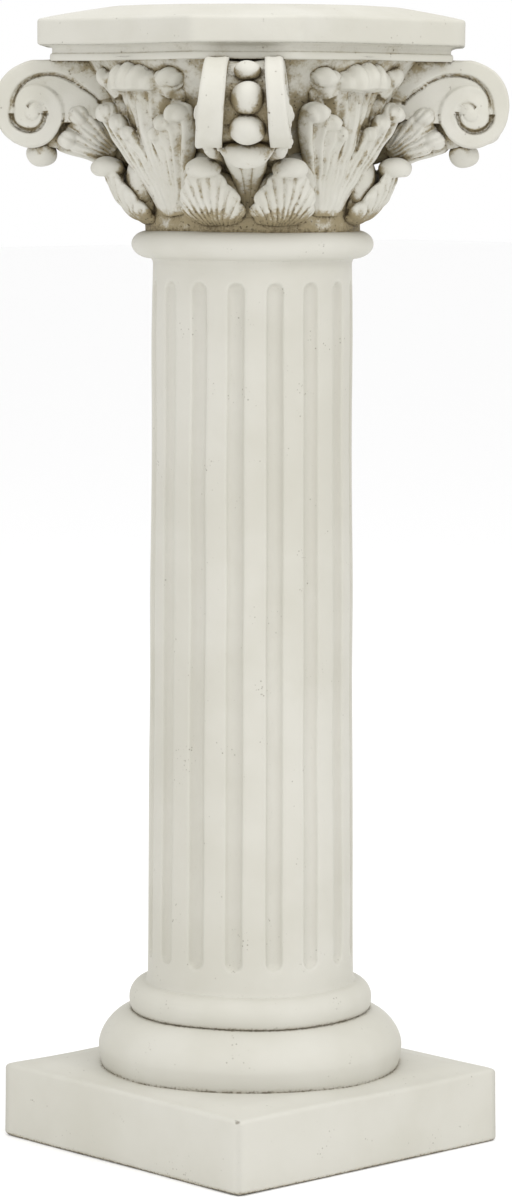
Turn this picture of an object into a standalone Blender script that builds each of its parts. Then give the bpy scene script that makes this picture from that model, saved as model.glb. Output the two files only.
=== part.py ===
"""Roman column pedestal: square plinth, attic base, fluted shaft and a leafed capital with four corner volutes.

Metres, +Z up. The origin is on the underside at the middle of the plinth, whose sides run along X and Y.
The whole pedestal is one casting, so every form is united into one body.
"""

import bpy
import bmesh
from math import atan2, cos, pi, radians, sin, sqrt
from mathutils import Matrix

# Plinth
PLINTH_SIDE = 0.250
PLINTH_HEIGHT = 0.0515
PLINTH_EDGE = 0.004

# Base: a wide lower torus and a narrow upper one
LOWER_TORUS_RADIUS = 0.1088
LOWER_TORUS_FOOT_RADIUS = 0.1035
LOWER_TORUS_TOP_RADIUS = 0.0850
LOWER_TORUS_HEIGHT = 0.0430
LOWER_TORUS_BULGE_AT = 0.42
TORUS_FULLNESS = 1.7
UPPER_TORUS_RADIUS = 0.0868
UPPER_TORUS_HEIGHT = 0.0225
UPPER_TORUS_BULGE_AT = 0.40
TORUS_QUIRK = 0.0015

# Shaft
SHAFT_BOTTOM_RADIUS = 0.0738
SHAFT_TOP_RADIUS = 0.0703
SHAFT_LENGTH = 0.5150
SHAFT_FILLET = 0.0012
SHAFT_FILLET_HEIGHT = 0.0030
SHAFT_SEGMENTS = 36
FLUTE_COUNT = 16
FLUTE_WIDTH = 0.0117
FLUTE_DEPTH = 0.0032
FLUTE_BOTTOM_MARGIN = 0.0185
FLUTE_TOP_MARGIN = 0.0155
FLUTE_TURN = 15.5
FLUTE_SEGMENTS = 12

# Astragal and neck
ASTRAGAL_RADIUS = 0.0856
ASTRAGAL_HEIGHT = 0.0215
NECK_RADIUS = 0.0755
NECK_HEIGHT = 0.0080
NECK_QUIRK = 0.0010

# Bell, from the neck up to the abacus
BELL_HEIGHT = 0.1070
BELL_LIP_RADIUS = 0.1170
BELL_CURVE = 1.8

# Abacus: concave sides, horns cut square across each diagonal
HORN_DISTANCE = 0.1485
HORN_HALF_WIDTH = 0.0360
SIDE_HOLLOW = 0.0045
SIDE_STEPS = 5
HORN_STEPS = 2
LIP_INSET = 0.0085
LIP_HEIGHT = 0.0075
LIP_EDGE = 0.0015
COVE_INSET = 0.0115
COVE_HEIGHT = 0.0035
FASCIA_HEIGHT = 0.0185
FASCIA_EDGE = 0.0030

# Raised round rim and the dish inside it
RIM_RADIUS = 0.1040
RIM_WIDTH = 0.0045
RIM_RISE = 0.0085
DISH_DEPTH = 0.0080
DISH_DRAFT = 0.0015

# Corner volutes, measured out along the diagonal and up from the underside of the abacus
SCROLL_EYE_OUT = 0.1525
SCROLL_EYE_DROP = 0.0345
SCROLL_TOP_RADIUS = 0.0345
SCROLL_OUTER_RADIUS = 0.0268
SCROLL_EYE_RADIUS = 0.0062
SCROLL_TURNS = 2.0
SCROLL_STEPS = 14
SCROLL_RIM_TURNS = 0.62
SCROLL_GAP = 0.0260
SCROLL_THICKNESS = 0.0140
SCROLL_SPLAY = 0.0060
SCROLL_BAND_WIDTH = 0.0070
SCROLL_BAND_PROUD = 0.0025
SCROLL_BAND_TAPER = 0.62
SCROLL_BAND_LAP = 0.0002
CORE_INSET = 0.0060
WEB_DROP = 0.0480
WEB_FOOT_DROP = 0.0800

# Beads and husk between the scrolls
BEAD_SIZES = ((0.0062, 0.0090, 0.0060), (0.0108, 0.0112, 0.0112), (0.0098, 0.0124, 0.0098))
BEAD_PLACES = (
    (SCROLL_EYE_OUT + 0.0105, 0.0092),
    (SCROLL_EYE_OUT + 0.0143, 0.0258),
    (SCROLL_EYE_OUT + 0.0115, 0.0478),
)
HUSK_SIZE = (0.0125, 0.0179, 0.0105)
HUSK_PLACE = (SCROLL_EYE_OUT - 0.0050, 0.0590)
CALYX_POINT_HALF_WIDTH = 0.0015
CALYX_HALF_WIDTH = 0.0110
CALYX_RIDGE = 0.0020
CALYX_ROOT = 0.0120
CALYX_TOP_OUT = HUSK_PLACE[0] - 0.0355

# Leaves in general: level of the neck under the curled tip, and how they stand on the bell
LEAF_NECK = 0.84
LEAF_NOTCH = 0.16
LEAF_EDGE = 0.0025
LEAF_BODY = 0.0062
LEAF_OVERHANG = 0.0120
LEAF_RIB = 0.0014

# Tall leaf at the middle of each side
TALL_LEAF_FOOT = 0.0030
TALL_LEAF_ROOT = 0.0130
TALL_LEAF_HEIGHT = 0.1030
TALL_LEAF_HALF_WIDTH = 0.0420
TALL_LEAF_TIP_OUT = 0.1260
TALL_LEAF_TIP_SIZE = (0.0130, 0.0195, 0.0098)
TALL_LEAF_LOBE_COUNT = 3

# Short leaves, one on each side of every corner
SHORT_LEAF_ROOT = 0.0080
SHORT_LEAF_HEIGHT = 0.0420
SHORT_LEAF_HALF_WIDTH = 0.0240
SHORT_LEAF_TIP_OUT = 0.1140
SHORT_LEAF_TIP_SIZE = (0.0100, 0.0125, 0.0058)
SHORT_LEAF_TURN = 17.0
SHORT_LEAF_LOBE_COUNT = 2

# Small leaflets under the flank of every volute
LEAFLET_SIZE = (0.0150, 0.0065, 0.0170)
LEAFLET_PLACE = (SCROLL_EYE_OUT - 0.0325, 0.0420)
LEAFLET_OFFSET = 0.0260

# Levels
BASE_TOP = PLINTH_HEIGHT + LOWER_TORUS_HEIGHT + UPPER_TORUS_HEIGHT
SHAFT_TOP = BASE_TOP + SHAFT_LENGTH
NECK_FOOT = SHAFT_TOP + ASTRAGAL_HEIGHT
BELL_FOOT = NECK_FOOT + NECK_HEIGHT
ABACUS_FOOT = BELL_FOOT + BELL_HEIGHT
FASCIA_FOOT = ABACUS_FOOT + LIP_HEIGHT + COVE_HEIGHT
FASCIA_TOP = FASCIA_FOOT + FASCIA_HEIGHT
RIM_TOP = FASCIA_TOP + RIM_RISE

CORNERS = tuple(45.0 + 90.0 * k for k in range(4))
SIDES = tuple(90.0 * k for k in range(4))


def clearScene():
    for item in list(bpy.data.objects):
        bpy.data.objects.remove(item, do_unlink=True)


def castStone():
    material = bpy.data.materials.new("cast_stone")
    material.use_nodes = True
    shader = material.node_tree.nodes["Principled BSDF"]
    shader.inputs["Base Color"].default_value = (0.72, 0.68, 0.59, 1.0)
    shader.inputs["Roughness"].default_value = 0.72
    shader.inputs["Metallic"].default_value = 0.0
    material.diffuse_color = (0.72, 0.68, 0.59, 1.0)
    return material


def addObject(name, shape):
    """Turn a closed bmesh into an object with outward faces."""
    bmesh.ops.recalc_face_normals(shape, faces=shape.faces)
    mesh = bpy.data.meshes.new(name)
    shape.to_mesh(mesh)
    shape.free()
    item = bpy.data.objects.new(name, mesh)
    bpy.context.scene.collection.objects.link(item)
    return item


def skin(shape, rings):
    """Join rings of points into one closed skin; the first and last ring are filled."""
    rows = [[shape.verts.new(point) for point in ring] for ring in rings]
    for lower, upper in zip(rows, rows[1:]):
        count = len(lower)
        for k in range(count):
            m = (k + 1) % count
            shape.faces.new((lower[k], lower[m], upper[m], upper[k]))
    shape.faces.new(rows[0])
    shape.faces.new(rows[-1])


def copiesAt(name, shape, angles):
    """Repeat a bmesh, drawn along +X, about the Z axis at the given angles, as one object."""
    source = bpy.data.meshes.new(name + "_one")
    shape.to_mesh(source)
    shape.free()
    group = bmesh.new()
    for angle in angles:
        first = len(group.verts)
        group.from_mesh(source)
        group.verts.ensure_lookup_table()
        turned = group.verts[first:]
        bmesh.ops.rotate(group, verts=turned, cent=(0, 0, 0), matrix=Matrix.Rotation(radians(angle), 3, "Z"))
    bpy.data.meshes.remove(source)
    return addObject(name, group)


def combine(target, name, tools, operation):
    """Unite a group of tools with the target, or cut them away, and keep the tools out of the build."""
    group = bpy.data.collections.new(name)
    bpy.context.scene.collection.children.link(group)
    for tool in tools:
        tool.hide_render = True
        tool.display_type = "WIRE"
        bpy.context.scene.collection.objects.unlink(tool)
        group.objects.link(tool)
    change = target.modifiers.new(name, "BOOLEAN")
    change.operation = operation
    change.solver = "EXACT"
    change.operand_type = "COLLECTION"
    change.collection = group


def bulge(lowRadius, wideRadius, highRadius, foot, height, wideAt, steps, fullness=2.0):
    """Points up a half-round moulding: x^f + y^f = 1 below and above its widest level."""
    points = []
    wide = foot + height * wideAt
    for k in range(steps + 1):
        turn = -pi / 2 + pi * k / steps
        side = abs(cos(turn)) ** (2 / fullness)
        rise = abs(sin(turn)) ** (2 / fullness)
        if turn < 0:
            points.append((lowRadius + (wideRadius - lowRadius) * side, wide - rise * (wide - foot)))
        else:
            points.append((highRadius + (wideRadius - highRadius) * side, wide + rise * (foot + height - wide)))
    return points


def bellRadius(share):
    """Bell radius at a share of its height: slow below, flaring to the lip."""
    return NECK_RADIUS - NECK_QUIRK + (BELL_LIP_RADIUS - NECK_RADIUS) * share ** BELL_CURVE


def turnedBody():
    """Lathe the base, shaft, astragal, neck and bell about the Z axis."""
    profile = [(LOWER_TORUS_FOOT_RADIUS, PLINTH_HEIGHT / 2)]
    profile += bulge(LOWER_TORUS_FOOT_RADIUS, LOWER_TORUS_RADIUS, LOWER_TORUS_TOP_RADIUS, PLINTH_HEIGHT,
                     LOWER_TORUS_HEIGHT, LOWER_TORUS_BULGE_AT, 6, TORUS_FULLNESS)
    foot = PLINTH_HEIGHT + LOWER_TORUS_HEIGHT
    profile += bulge(LOWER_TORUS_TOP_RADIUS - TORUS_QUIRK, UPPER_TORUS_RADIUS, SHAFT_BOTTOM_RADIUS + SHAFT_FILLET, foot,
                     UPPER_TORUS_HEIGHT, UPPER_TORUS_BULGE_AT, 4)[1:]
    profile.append((SHAFT_BOTTOM_RADIUS, BASE_TOP + SHAFT_FILLET_HEIGHT))
    profile.append((SHAFT_TOP_RADIUS, SHAFT_TOP - SHAFT_FILLET_HEIGHT / 2))
    profile += bulge(SHAFT_TOP_RADIUS + SHAFT_FILLET, ASTRAGAL_RADIUS, NECK_RADIUS, SHAFT_TOP, ASTRAGAL_HEIGHT, 0.5, 5)
    profile.append((NECK_RADIUS, BELL_FOOT))
    for k in range(1, 4):
        profile.append((bellRadius(k / 3), BELL_FOOT + BELL_HEIGHT * k / 3))
    profile.append((BELL_LIP_RADIUS - NECK_QUIRK, ABACUS_FOOT + LIP_HEIGHT / 2))
    shape = bmesh.new()
    step = 2 * pi / SHAFT_SEGMENTS
    skin(shape, [[(r * cos(k * step), r * sin(k * step), z) for k in range(SHAFT_SEGMENTS)] for r, z in profile])
    return addObject("pedestal", shape)


def plinth():
    shape = bmesh.new()
    bmesh.ops.create_cube(shape, size=1.0)
    bmesh.ops.scale(shape, vec=(PLINTH_SIDE, PLINTH_SIDE, PLINTH_HEIGHT), verts=shape.verts)
    bmesh.ops.translate(shape, vec=(0, 0, PLINTH_HEIGHT / 2), verts=shape.verts)
    bmesh.ops.bevel(shape, geom=shape.edges[:], offset=PLINTH_EDGE, segments=2, profile=0.5, affect="EDGES")
    return addObject("plinth_block", shape)


def fluteCutters():
    """Capsules that sink one depth into the tapered shaft, with round ends."""
    radius = (FLUTE_WIDTH ** 2 / 4 + FLUTE_DEPTH ** 2) / (2 * FLUTE_DEPTH)
    low = BASE_TOP + FLUTE_BOTTOM_MARGIN + FLUTE_WIDTH / 2
    high = SHAFT_TOP - FLUTE_TOP_MARGIN - FLUTE_WIDTH / 2
    slope = (SHAFT_TOP_RADIUS - SHAFT_BOTTOM_RADIUS) / SHAFT_LENGTH
    shape = bmesh.new()
    bmesh.ops.create_uvsphere(shape, u_segments=FLUTE_SEGMENTS, v_segments=6, radius=radius,
                              matrix=Matrix.Rotation(pi / FLUTE_SEGMENTS, 4, "Z"))
    for vert in shape.verts:
        end = high if vert.co.z > 1e-5 else low
        surface = SHAFT_BOTTOM_RADIUS + slope * (end - BASE_TOP)
        vert.co.x += surface + radius - FLUTE_DEPTH
        vert.co.z += end
    # the widest ring belongs to both ends, so it is split into two
    upper = [f for f in shape.faces if max(v.co.z for v in f.verts) > (low + high) / 2]
    rims = bmesh.ops.split(shape, geom=upper)["geom"]
    rise = [v for v in rims if isinstance(v, bmesh.types.BMVert) and abs(v.co.z - low) < 1e-5]
    surfaceStep = slope * (high - low)
    for vert in rise:
        vert.co.z = high
        vert.co.x += surfaceStep
    open_ = [e for e in shape.edges if e.is_boundary]
    bmesh.ops.bridge_loops(shape, edges=open_)
    pitch = 360.0 / FLUTE_COUNT
    return copiesAt("flute_cutters", shape, [FLUTE_TURN + pitch * k for k in range(FLUTE_COUNT)])


def abacusPlan(inset):
    """Eight-cornered plan with hollow sides, every side moved in by the inset."""
    horn = HORN_DISTANCE - inset
    half = HORN_HALF_WIDTH - inset * (sqrt(2) - 1)
    points = []
    for angle in CORNERS:
        a = radians(angle)
        b = radians(angle + 90)
        start = (horn * cos(a) - half * sin(a), horn * sin(a) + half * cos(a))
        end = (horn * cos(b) + half * sin(b), horn * sin(b) - half * cos(b))
        for k in range(HORN_STEPS):
            across = half * (1 - 2 * k / HORN_STEPS)
            points.append((horn * cos(a) + across * sin(a), horn * sin(a) - across * cos(a)))
        for k in range(SIDE_STEPS + 1):
            share = k / SIDE_STEPS
            x = start[0] + (end[0] - start[0]) * share
            y = start[1] + (end[1] - start[1]) * share
            away = SIDE_HOLLOW * 4 * share * (1 - share)
            middle = radians(angle + 45)
            points.append((x - away * cos(middle), y - away * sin(middle)))
        points.pop()
        points.append(end)
    # a corner that ends one side is also listed by the next horn, so each plan keeps it once
    kept = []
    for p in points:
        if not kept or abs(p[0] - kept[-1][0]) + abs(p[1] - kept[-1][1]) > 1e-6:
            kept.append(p)
    if abs(kept[0][0] - kept[-1][0]) + abs(kept[0][1] - kept[-1][1]) < 1e-6:
        kept.pop()
    return kept


def abacus():
    """Stack of plans: lip, cove, fascia, then a slope up to the round rim and down into the dish."""
    levels = [
        (LIP_INSET + LIP_EDGE, ABACUS_FOOT),
        (LIP_INSET, ABACUS_FOOT + LIP_EDGE),
        (LIP_INSET, ABACUS_FOOT + LIP_HEIGHT - LIP_EDGE),
        (COVE_INSET, ABACUS_FOOT + LIP_HEIGHT + COVE_HEIGHT * 0.6),
        (FASCIA_EDGE * 0.7, FASCIA_FOOT),
        (0.0, FASCIA_FOOT + FASCIA_EDGE * 0.8),
        (0.0, FASCIA_TOP - FASCIA_EDGE),
        (FASCIA_EDGE * 0.3, FASCIA_TOP - FASCIA_EDGE * 0.3),
        (FASCIA_EDGE, FASCIA_TOP),
    ]
    rings = [[(x, y, z) for x, y in abacusPlan(inset)] for inset, z in levels]
    turns = [atan2(y, x) for x, y in abacusPlan(0.0)]
    rounds = [
        (RIM_RADIUS, RIM_TOP),
        (RIM_RADIUS - RIM_WIDTH, RIM_TOP),
        (RIM_RADIUS - RIM_WIDTH - DISH_DRAFT, RIM_TOP - DISH_DEPTH),
    ]
    for radius, z in rounds:
        rings.append([(radius * cos(t), radius * sin(t), z) for t in turns])
    shape = bmesh.new()
    skin(shape, rings)
    return addObject("abacus_block", shape)


def scrollRadius(turn):
    """Scroll radius after a number of turns from its top: a quick first quarter, then an even spiral."""
    if turn < 0.25:
        share = sin(turn * 2 * pi)
        return SCROLL_TOP_RADIUS + (SCROLL_OUTER_RADIUS - SCROLL_TOP_RADIUS) * share ** 1.5
    return SCROLL_OUTER_RADIUS + (SCROLL_EYE_RADIUS - SCROLL_OUTER_RADIUS) * (turn - 0.25) / (SCROLL_TURNS - 0.25)


def scrollPoint(turn, inset=0.0):
    """Point (out, up) of the spiral; a turn of 0 is straight above the eye, 0.25 straight out."""
    radius = scrollRadius(turn) - inset
    angle = pi / 2 - 2 * pi * turn
    return SCROLL_EYE_OUT + radius * cos(angle), ABACUS_FOOT - SCROLL_EYE_DROP + radius * sin(angle)


def scrollOutline(inset):
    """Side outline of a volute: bell, underside of the abacus, round the scroll, back down its web."""
    points = [(bellRadius(0.6), ABACUS_FOOT + LIP_HEIGHT / 2), (SCROLL_EYE_OUT - SCROLL_TOP_RADIUS * 0.45,
                                                                  ABACUS_FOOT + LIP_HEIGHT / 2 - inset)]
    count = 11
    points += [scrollPoint(SCROLL_RIM_TURNS * k / count, inset) for k in range(count + 1)]
    points.append((SCROLL_EYE_OUT - SCROLL_OUTER_RADIUS + inset * 0.5, ABACUS_FOOT - WEB_DROP))
    points.append((bellRadius(0.25), ABACUS_FOOT - WEB_FOOT_DROP))
    return points


def plateShift(up):
    """Sideways shift of a scroll plate, wider apart toward its foot."""
    return SCROLL_SPLAY * (ABACUS_FOOT - up) / (2 * SCROLL_EYE_DROP)


def slab(outline, low, high, splay):
    """Flat slab from an outline (out, up) between two sideways distances, moved by the splay."""
    rings = []
    for side in (low, high):
        rings.append([(x, side + splay * plateShift(z), z) for x, z in outline])
    shape = bmesh.new()
    skin(shape, rings)
    return shape


def volutePlates(side):
    inner = SCROLL_GAP / 2
    outline = scrollOutline(0.0)
    shape = slab(outline, side * inner, side * (inner + SCROLL_THICKNESS - SCROLL_BAND_PROUD), side)
    return copiesAt("volute_plates_" + ("left" if side > 0 else "right"), shape, CORNERS)


def voluteCores():
    wide = SCROLL_GAP / 2 + SCROLL_THICKNESS / 3
    return copiesAt("volute_cores", slab(scrollOutline(CORE_INSET), -wide, wide, 0), CORNERS)


def voluteBands(side):
    """Raised band that follows the spiral in to the eye on the outer face of a plate."""
    face = SCROLL_GAP / 2 + SCROLL_THICKNESS
    rings = []
    for k in range(SCROLL_STEPS + 1):
        turn = SCROLL_TURNS * k / SCROLL_STEPS
        width = SCROLL_BAND_WIDTH * (1 - SCROLL_BAND_TAPER * k / SCROLL_STEPS)
        ring = []
        lap = -SCROLL_BAND_LAP
        for inset, low in ((lap, True), (lap, False), (width, False), (width, True)):
            x, z = scrollPoint(turn, inset)
            depth = 2 * SCROLL_BAND_PROUD if low else 0.0
            ring.append((x, side * (face - depth + plateShift(z)), z))
        rings.append(ring)
    shape = bmesh.new()
    skin(shape, rings)
    return copiesAt("volute_bands_" + ("left" if side > 0 else "right"), shape, CORNERS)


def pebble(shape, place, size, across=8, down=4):
    """Add an ellipsoid, standing on end, to a bmesh."""
    matrix = Matrix.Translation(place) @ Matrix.Diagonal((*size, 1.0))
    bmesh.ops.create_uvsphere(shape, u_segments=across, v_segments=down, radius=1.0, matrix=matrix)


def beads(index):
    shape = bmesh.new()
    out, drop = BEAD_PLACES[index]
    pebble(shape, (out, 0.0, ABACUS_FOOT - drop), BEAD_SIZES[index])
    return copiesAt("bead_%d" % (index + 1), shape, CORNERS)


def husks():
    shape = bmesh.new()
    out, drop = HUSK_PLACE
    pebble(shape, (out, 0.0, ABACUS_FOOT - drop), HUSK_SIZE)
    return copiesAt("husks", shape, CORNERS)


def calyxes():
    """Tapering stem under each husk, down the bell to a point at the neck."""
    top = ABACUS_FOOT - HUSK_PLACE[1] + HUSK_SIZE[2] * 0.5
    rings = []
    count = 5
    for k in range(count + 1):
        share = k / count
        z = BELL_FOOT + CALYX_RIDGE + (top - BELL_FOOT) * share
        half = CALYX_POINT_HALF_WIDTH + CALYX_HALF_WIDTH * share ** 0.8
        wall = bellRadius((z - BELL_FOOT) / BELL_HEIGHT)
        front = wall + CALYX_RIDGE + (CALYX_TOP_OUT - wall) * share ** 1.5
        rings.append([(wall - CALYX_ROOT, -half, z), (front - CALYX_RIDGE, -half, z), (front, 0.0, z),
                      (front - CALYX_RIDGE, half, z), (wall - CALYX_ROOT, half, z)])
    shape = bmesh.new()
    skin(shape, rings)
    return copiesAt("calyxes", shape, CORNERS)


def leafPath(foot, height, wide, tipOut, lobes, root):
    """Closed path (out, up, half width, fall) up the front of a leaf and back down inside the bell.

    Half width swells with the sine of the height and is notched between lobes; fall is how far the edges drop back.
    """
    path = []
    for k in range(2 * lobes + 1):
        share = LEAF_NECK * k / (2 * lobes)
        swell = wide * (0.55 + 0.45 * sin(pi * min(share / 0.75, 1.0) / 2))
        half = swell * (1.0 if k % 2 else 1.0 - LEAF_NOTCH)
        wall = bellRadius(share * height / BELL_HEIGHT) + LEAF_EDGE
        lean = (tipOut - LEAF_OVERHANG - wall - LEAF_BODY) * (share / LEAF_NECK) ** 2.2
        path.append((wall + LEAF_BODY + lean, foot + height * share, half, LEAF_BODY + lean))
    crown = bellRadius(0.92 * height / BELL_HEIGHT)
    path.append((crown - root, foot + height * 0.92, wide * 0.75, 0.0))
    path.append((NECK_RADIUS - root, foot + root * 0.2, wide * 0.46, 0.0))
    return path


def leafBlades(name, angles, foot, height, wide, tipOut, lobes, across, root):
    """Closed leaf: its path repeated across its width, with raised ribs and edges that fall to the bell."""
    rings = []
    for j in range(across + 1):
        s = -1 + 2 * j / across
        ring = []
        for out, up, half, fall in leafPath(foot, height, wide, tipOut, lobes, root):
            r = out - fall * s * s + (LEAF_RIB * cos(pi * s * 3) if fall else 0.0)
            turn = s * half / out
            ring.append((r * cos(turn), r * sin(turn), up))
        rings.append(ring)
    shape = bmesh.new()
    skin(shape, rings)
    return copiesAt(name, shape, angles)


def leafTips(name, angles, top, tipOut, size):
    """Rolled tip of each leaf: an ellipsoid whose top is level with the top of the leaf."""
    shape = bmesh.new()
    pebble(shape, (tipOut - size[0], 0.0, top - size[2]), size)
    return copiesAt(name, shape, angles)


def leaflets(side):
    shape = bmesh.new()
    out, drop = LEAFLET_PLACE
    pebble(shape, (out, side * LEAFLET_OFFSET, ABACUS_FOOT - drop), LEAFLET_SIZE)
    return copiesAt("leaflets_" + ("left" if side > 0 else "right"), shape, CORNERS)


def build():
    clearScene()
    body = turnedBody()
    combine(body, "flutes", [fluteCutters()], "DIFFERENCE")
    tools = [plinth(), abacus(), voluteCores(), volutePlates(1), volutePlates(-1), voluteBands(1), voluteBands(-1)]
    tools += [beads(0), beads(1), beads(2), husks(), calyxes()]
    foot = BELL_FOOT + TALL_LEAF_FOOT
    tools.append(leafBlades("tall_leaf_blades", SIDES, foot, TALL_LEAF_HEIGHT, TALL_LEAF_HALF_WIDTH, TALL_LEAF_TIP_OUT,
                            TALL_LEAF_LOBE_COUNT, 6, TALL_LEAF_ROOT))
    tools.append(leafTips("tall_leaf_tips", SIDES, foot + TALL_LEAF_HEIGHT, TALL_LEAF_TIP_OUT, TALL_LEAF_TIP_SIZE))
    for side, hand in ((1, "left"), (-1, "right")):
        angles = [angle + side * SHORT_LEAF_TURN for angle in CORNERS]
        tools.append(leafBlades("short_leaf_blades_" + hand, angles, BELL_FOOT, SHORT_LEAF_HEIGHT,
                                SHORT_LEAF_HALF_WIDTH, SHORT_LEAF_TIP_OUT, SHORT_LEAF_LOBE_COUNT, 4, SHORT_LEAF_ROOT))
        tools.append(leafTips("short_leaf_tips_" + hand, angles, BELL_FOOT + SHORT_LEAF_HEIGHT, SHORT_LEAF_TIP_OUT,
                              SHORT_LEAF_TIP_SIZE))
        tools.append(leaflets(side))
    combine(body, "forms", tools, "UNION")
    body.data.materials.append(castStone())
    return body


build()
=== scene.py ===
import math
import bpy
import bmesh
import numpy as np
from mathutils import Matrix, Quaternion, Vector


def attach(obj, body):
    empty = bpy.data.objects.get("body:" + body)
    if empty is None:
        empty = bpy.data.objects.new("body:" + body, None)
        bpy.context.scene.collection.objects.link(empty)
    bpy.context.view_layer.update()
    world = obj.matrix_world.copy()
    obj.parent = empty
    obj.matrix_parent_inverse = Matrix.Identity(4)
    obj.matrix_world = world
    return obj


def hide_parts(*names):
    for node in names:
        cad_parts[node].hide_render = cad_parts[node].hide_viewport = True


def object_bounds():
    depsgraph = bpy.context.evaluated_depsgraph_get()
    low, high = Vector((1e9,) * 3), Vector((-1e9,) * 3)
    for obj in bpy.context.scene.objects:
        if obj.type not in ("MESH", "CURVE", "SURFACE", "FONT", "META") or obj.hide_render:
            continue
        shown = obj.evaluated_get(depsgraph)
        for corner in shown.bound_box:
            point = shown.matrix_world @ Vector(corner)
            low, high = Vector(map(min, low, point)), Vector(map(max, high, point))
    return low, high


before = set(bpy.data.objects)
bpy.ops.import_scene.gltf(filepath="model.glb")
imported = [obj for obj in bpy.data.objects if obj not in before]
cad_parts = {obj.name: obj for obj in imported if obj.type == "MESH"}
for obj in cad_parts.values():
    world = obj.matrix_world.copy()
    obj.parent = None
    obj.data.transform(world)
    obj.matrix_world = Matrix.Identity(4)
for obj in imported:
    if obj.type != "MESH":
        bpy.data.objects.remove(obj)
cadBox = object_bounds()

# Metres, Z up. The plinth's sides run along X and Y, so the volutes point along the diagonals.
cornerAngles = [45.0, 135.0, 225.0, 315.0]
sideAngles = [0.0, 90.0, 180.0, 270.0]


# Smooth step from 0 at low to 1 at high: 3t^2 - 2t^3.
def eased(low, high, x):
    t = np.clip((x - low) / (high - low), 0, 1)
    return t * t * (3 - 2 * t)


# Catmull-Rom curve through the rows of points: cubic spans whose slopes come from the neighbouring points.
def spline(points, count):
    points = np.asarray(points, float)
    padded = np.concatenate([2 * points[:1] - points[1:2], points, 2 * points[-1:] - points[-2:-1]])
    at = np.linspace(0, len(points) - 1 - 1e-9, count)
    k = at.astype(int)
    t = (at - k)[:, None]
    a, b, c, d = (padded[k + i] for i in range(4))
    slope = c - a
    bend = 2 * a - 5 * b + 4 * c - d
    twist = 3 * b - a - 3 * c + d
    return 0.5 * (2 * b + slope * t + bend * t ** 2 + twist * t ** 3)


# Vectors brought to length 1.
def unit(vectors):
    return vectors / np.maximum(np.linalg.norm(vectors, axis=-1, keepdims=True), 1e-12)


# Closed skin of a grid whose rows are rings: four-sided faces between rows, and a fan to the mean point at
# each end. A part is its points, its four-sided faces and its triangles.
def skin(rings):
    rows, cols = rings.shape[:2]
    index = np.arange(rows * cols).reshape(rows, cols)
    beside = np.roll(index, -1, axis=1)
    quads = np.stack([index[:-1], beside[:-1], beside[1:], index[1:]], -1).reshape(-1, 4)
    foot = np.stack([beside[0], index[0], np.full(cols, rows * cols)], -1)
    top = np.stack([index[-1], beside[-1], np.full(cols, rows * cols + 1)], -1)
    points = np.concatenate([rings.reshape(-1, 3), rings[:1].mean(1), rings[-1:].mean(1)])
    return points, quads, np.concatenate([foot, top])


# Several parts as one: the corner numbers of each move up by the points before it.
def joined(parts):
    starts = np.cumsum([0] + [len(part[0]) for part in parts[:-1]])
    return (np.concatenate([part[0] for part in parts]),
            np.concatenate([part[1] + start for part, start in zip(parts, starts)]),
            np.concatenate([part[2] + start for part, start in zip(parts, starts)]))


# Rotation about Z by an angle in degrees.
def turned(part, degrees):
    c, s = math.cos(math.radians(degrees)), math.sin(math.radians(degrees))
    return part[0] @ np.array([[c, s, 0], [-s, c, 0], [0, 0, 1]]), part[1], part[2]


# Mirror in the XZ plane, with the faces' order reversed to keep them outward.
def mirrored(part):
    return part[0] * [1, -1, 1], part[1][:, ::-1], part[2][:, ::-1]


waves = {
    "directions": np.array([[.9, .3, .5], [-.4, .8, .6], [.2, -.7, .9], [.7, .6, -.5], [-.8, .1, .4]]),
    "phases": np.array([[.3, 1.9, 4.1], [2.2, .7, 3.3], [5.1, 2.8, 1.2], [3.9, 4.6, .2], [1.1, 5.5, 2.7]]),
    "turn": 6.2832, "height": 2.2,
}


# Hand-cast unevenness: five sine waves that cross at odd angles are summed, with other phases for each axis.
# The size is a wave's length, and the amount is about how far the surface moves.
def uneven(part, size, amount):
    directions = waves["directions"] * (waves["turn"] / size)
    shift = np.sin((part[0] @ directions.T)[:, :, None] + waves["phases"][None]).sum(1)
    return part[0] + shift * amount / waves["height"], part[1], part[2]


# Blender mesh of a part: doubles merged, faces outward.
def meshOf(name, part):
    points, quads, tris = part
    corners = np.concatenate([quads.ravel(), tris.ravel()])
    totals = np.concatenate([np.full(len(quads), 4), np.full(len(tris), 3)])
    mesh = bpy.data.meshes.new(name)
    mesh.vertices.add(len(points))
    mesh.vertices.foreach_set("co", points.astype(np.float32).ravel())
    mesh.loops.add(len(corners))
    mesh.loops.foreach_set("vertex_index", corners.astype(np.int32))
    mesh.polygons.add(len(totals))
    mesh.polygons.foreach_set("loop_start", (np.cumsum(totals) - totals).astype(np.int32))
    mesh.update(calc_edges=True)
    work = bmesh.new()
    work.from_mesh(mesh)
    bmesh.ops.remove_doubles(work, verts=work.verts, dist=1e-7)
    bmesh.ops.recalc_face_normals(work, faces=work.faces)
    work.to_mesh(mesh)
    work.free()
    return mesh


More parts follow.
